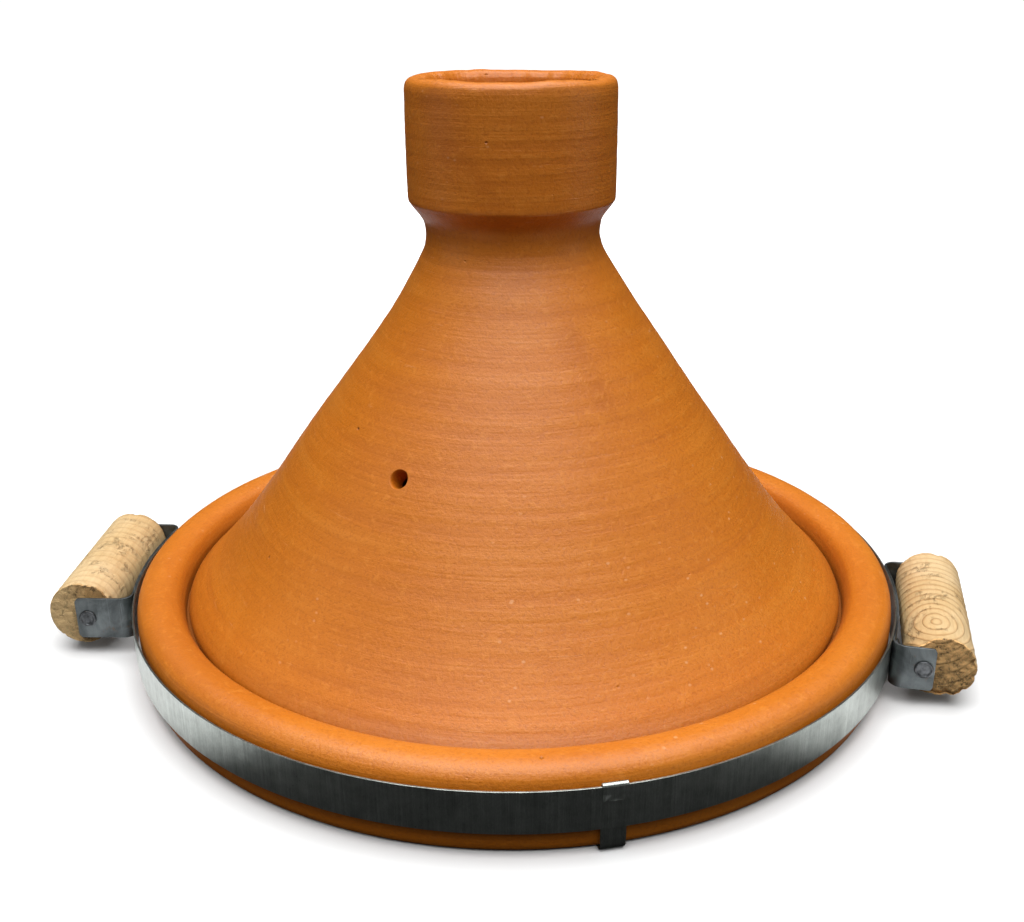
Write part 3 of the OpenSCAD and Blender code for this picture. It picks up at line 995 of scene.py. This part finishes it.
def build_grip(context, side):
    """One round grip with sawn, chipped ends, nicks, raised rings and a slightly uneven side."""
    wood = context.scene.tagine_wood
    grip = GRIPS[side]
    seed = grip["seed"]
    slope = grip["slope"]
    node = "grip_" + side
    turn = turn_of(node)
    out, across = ring_frame(turn)
    low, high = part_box(node)
    radius = (high[2] - low[2] - math.sin(slope) * wood.length) / (2 * math.cos(slope))
    half = wood.length / 2 - radius * math.sin(slope)
    inside = half - 0.01 * MM
    points = [v.co for v in NODES[node].data.vertices]
    at = (max(p.dot(out) for p in points) + min(p.dot(out) for p in points)) / 2
    shift = (max(p.dot(across) for p in points) + min(p.dot(across) for p in points)) / 2
    to_rings = Euler(grip["tilt"]).to_matrix()
    nicks = []
    for i in range(NICKS):
        nick_turn = noise.cell(Vector((seed, i, 0))) * 6.28
        nick_along = (noise.cell(Vector((seed, i, 5))) - 0.5) * 0.8 * wood.length
        nicks.append((nick_turn, nick_along))

    def worn(r, along, angle):
        """Radius of the long side at a turn: slow unevenness and fine fibres."""
        x = math.cos(angle)
        z = math.sin(angle)
        slow = 1 + grain(x * 0.9, z * 0.9, along * 16 + seed, 2)
        fine = 1 + grain(x * 9, z * 9, along * 30 + seed, 3)
        return r * (1 - 0.012 * slow) - 0.1 * MM * fine * (r / radius)

    def carved(along, angle):
        """Depth of the nicks and of the soft wood between the rings."""
        depth = 0.0
        for nick_turn, nick_along in nicks:
            gap = ((angle - nick_turn + math.pi) % (2 * math.pi) - math.pi) * radius
            reach = (gap / (2.6 * MM)) ** 2 + ((along - nick_along) / (0.9 * MM)) ** 2
            depth += 0.6 * MM * math.exp(-reach * 1.5)
        side_at = Vector((math.cos(angle) * radius, along, math.sin(angle) * radius))
        spot = to_rings @ side_at + Vector(grip["pith"])
        wave = math.hypot(spot.x, spot.z) / grip["ring_gap"] % 1.0
        soft = 1 - wave / LATE_WOOD if wave < LATE_WOOD else (wave - LATE_WOOD) / (1 - LATE_WOOD)
        return depth + 0.3 * MM * grip["ring_tone"] * soft

    def shape(r, along, angle):
        out_r = worn(r, along, angle)
        if abs(along) < inside:
            out_r -= carved(along, angle)
        bite = grip_chip(wood, half, seed, angle, along, radius - r)
        if r > radius * 0.8:
            out_r -= bite * 0.9
        saw = 0.0
        if abs(along) > inside:
            pit = grain(r * math.cos(angle) * 330, r * math.sin(angle) * 330, seed, 4)
            saw = 0.35 * MM * max(0.0, pit + 0.25) + bite * 0.9
        return Vector((math.cos(angle) * out_r, along - math.copysign(saw, along), math.sin(angle) * out_r))

    piece = spin("wooden_" + node, [grip_rings(half, radius)], 128, shape, crease=55, axis="Y")
    seat = out * at + across * shift + Vector((0, 0, (low[2] + high[2]) / 2))
    facing = Matrix.Rotation(turn, 4, "Z") @ Matrix.Rotation(slope, 4, "X")
    piece.matrix_world = Matrix.Translation(seat) @ facing
    place(piece, node, [node], pine(node + "_pine", wood, half, grip))


class TAGINE_OT_grips(bpy.types.Operator):
    """Turn the two pine grips and chip their ends"""

    bl_idname = "tagine.grips"
    bl_label = "Grips"

    def execute(self, context):
        for side in GRIPS:
            build_grip(context, side)
        return {"FINISHED"}


# ---------------------------------------------------------------------------
# Stage


# Softboxes as (name, place with the camera along -Y, width and height, watts).
LIGHTS = (
    ("over", (0, -0.15, 2.0), (2.4, 2.4), 80),
    ("front", (0.0, -1.35, 1.55), (2.2, 0.6), 7.2),
    ("left", (-1.3, -0.25, 0.35), (0.3, 1.0), 1.4),
    ("right", (1.3, -0.25, 0.35), (0.3, 1.0), 1.7),
)


def floor_finish():
    """Pale floor: white in view, bright beside the pot in reflections, sending little light up."""
    n = Nodes("pale_floor")
    path = n.tree.nodes.new("ShaderNodeLightPath").outputs
    seen = path["Is Camera Ray"]
    x, y = n.split()[0:2]
    aside = n.ramp(n.times(n.math("ABSOLUTE", x), 2.5),
                   (0.29, 0.015), (0.37, 0.9), (0.47, 0.9), (0.54, 0.02))
    bounce = n.mix(path["Is Glossy Ray"], (0.035, 0.035, 0.035), aside)
    n.link(n.mix(seen, bounce, (0.84, 0.84, 0.84)), n.shader.inputs["Base Color"])
    away = n.length(x, y)
    glow = n.times(seen, n.mask(n.times(away, 0.5), 0.08, 0.5))
    n.shader.inputs["Emission Color"].default_value = (1, 1, 1, 1)
    n.link(glow, n.shader.inputs["Emission Strength"])
    n.shader.inputs["Roughness"].default_value = 0.9
    n.shader.inputs["Specular IOR Level"].default_value = 0.1
    return n.material


def softbox(name, at, look, size, power):
    """An area light at a place, turned to look at a point."""
    light = bpy.data.lights.new(name, "AREA")
    light.shape = "RECTANGLE"
    light.size, light.size_y = size
    light.energy = power
    lamp = bpy.data.objects.new(name, light)
    lamp.location = at
    lamp.rotation_euler = (Vector(look) - Vector(at)).to_track_quat("-Z", "Y").to_euler()
    bpy.context.scene.collection.objects.link(lamp)


class TAGINE_OT_stage(bpy.types.Operator):
    """Set the floor, the lights and the camera"""

    bl_idname = "tagine.stage"
    bl_label = "Stage"

    def execute(self, context):
        stage = context.scene.tagine_stage
        mesh = bpy.data.meshes.new("floor")
        wide = 60.0
        corners = [(-wide, -wide, 0), (wide, -wide, 0), (wide, wide, 0), (-wide, wide, 0)]
        mesh.from_pydata(corners, [], [(0, 1, 2, 3)])
        floor = bpy.data.objects.new("floor", mesh)
        floor.rotation_euler.z = stage.view_turn
        floor.data.materials.append(floor_finish())
        context.scene.collection.objects.link(floor)

        world = bpy.data.worlds.new("studio")
        context.scene.world = world
        world.use_nodes = True
        tree = world.node_tree
        path = tree.nodes.new("ShaderNodeLightPath")
        level = tree.nodes.new("ShaderNodeMapRange")
        level.inputs["To Min"].default_value = 0.045
        level.inputs["To Max"].default_value = 1.0
        tree.links.new(path.outputs["Is Camera Ray"], level.inputs["Value"])
        tree.links.new(level.outputs["Result"], tree.nodes["Background"].inputs["Strength"])
        tree.nodes["Background"].inputs["Color"].default_value = (1, 1, 1, 1)

        facing = Matrix.Rotation(stage.view_turn, 4, "Z")
        centre = facing @ Vector((0, 0, 0.08))
        for name, at, size, power in LIGHTS:
            softbox(name, facing @ Vector(at), centre, size, power)

        camera = bpy.data.objects.new("camera", bpy.data.cameras.new("camera"))
        camera.data.sensor_width = 36
        camera.data.lens = stage.lens
        camera.data.clip_start = 0.01
        camera.data.clip_end = 200
        stand = Matrix.Translation((stage.view_aside, -stage.view_distance, stage.view_height))
        look = Matrix.Rotation(math.pi / 2 - stage.view_tilt, 4, "X")
        camera.matrix_world = facing @ stand @ look @ Matrix.Rotation(stage.view_roll, 4, "Z")
        context.scene.collection.objects.link(camera)
        context.scene.camera = camera
        context.scene.view_settings.view_transform = "Standard"
        return {"FINISHED"}


# ---------------------------------------------------------------------------
# Panel and order of work

STEPS = (
    TAGINE_OT_dish,
    TAGINE_OT_lid,
    TAGINE_OT_hoop,
    TAGINE_OT_strap,
    TAGINE_OT_brackets,
    TAGINE_OT_rivets,
    TAGINE_OT_grips,
    TAGINE_OT_nails,
    TAGINE_OT_stage,
)


class TAGINE_PT_panel(bpy.types.Panel):
    """Lists the pieces in the order in which they are made"""

    bl_idname = "TAGINE_PT_panel"
    bl_label = "Tagine Pot"
    bl_space_type = "VIEW_3D"
    bl_region_type = "UI"
    bl_category = "Tagine"

    def draw(self, context):
        for step in STEPS:
            self.layout.operator(step.bl_idname)
        for name, kind in SETTINGS.items():
            box = self.layout.box()
            for key in kind.__annotations__:
                box.prop(getattr(context.scene, name), key)


def register():
    for kind in (*SETTINGS.values(), *STEPS, TAGINE_PT_panel):
        bpy.utils.register_class(kind)
    for name, kind in SETTINGS.items():
        setattr(bpy.types.Scene, name, bpy.props.PointerProperty(type=kind))


def unregister():
    for name in SETTINGS:
        delattr(bpy.types.Scene, name)
    for kind in reversed((*SETTINGS.values(), *STEPS, TAGINE_PT_panel)):
        bpy.utils.unregister_class(kind)


def main():
    register()
    for step in STEPS:
        group, call = step.bl_idname.split(".")
        getattr(getattr(bpy.ops, group), call)()


if __name__ == "__main__":
    main()
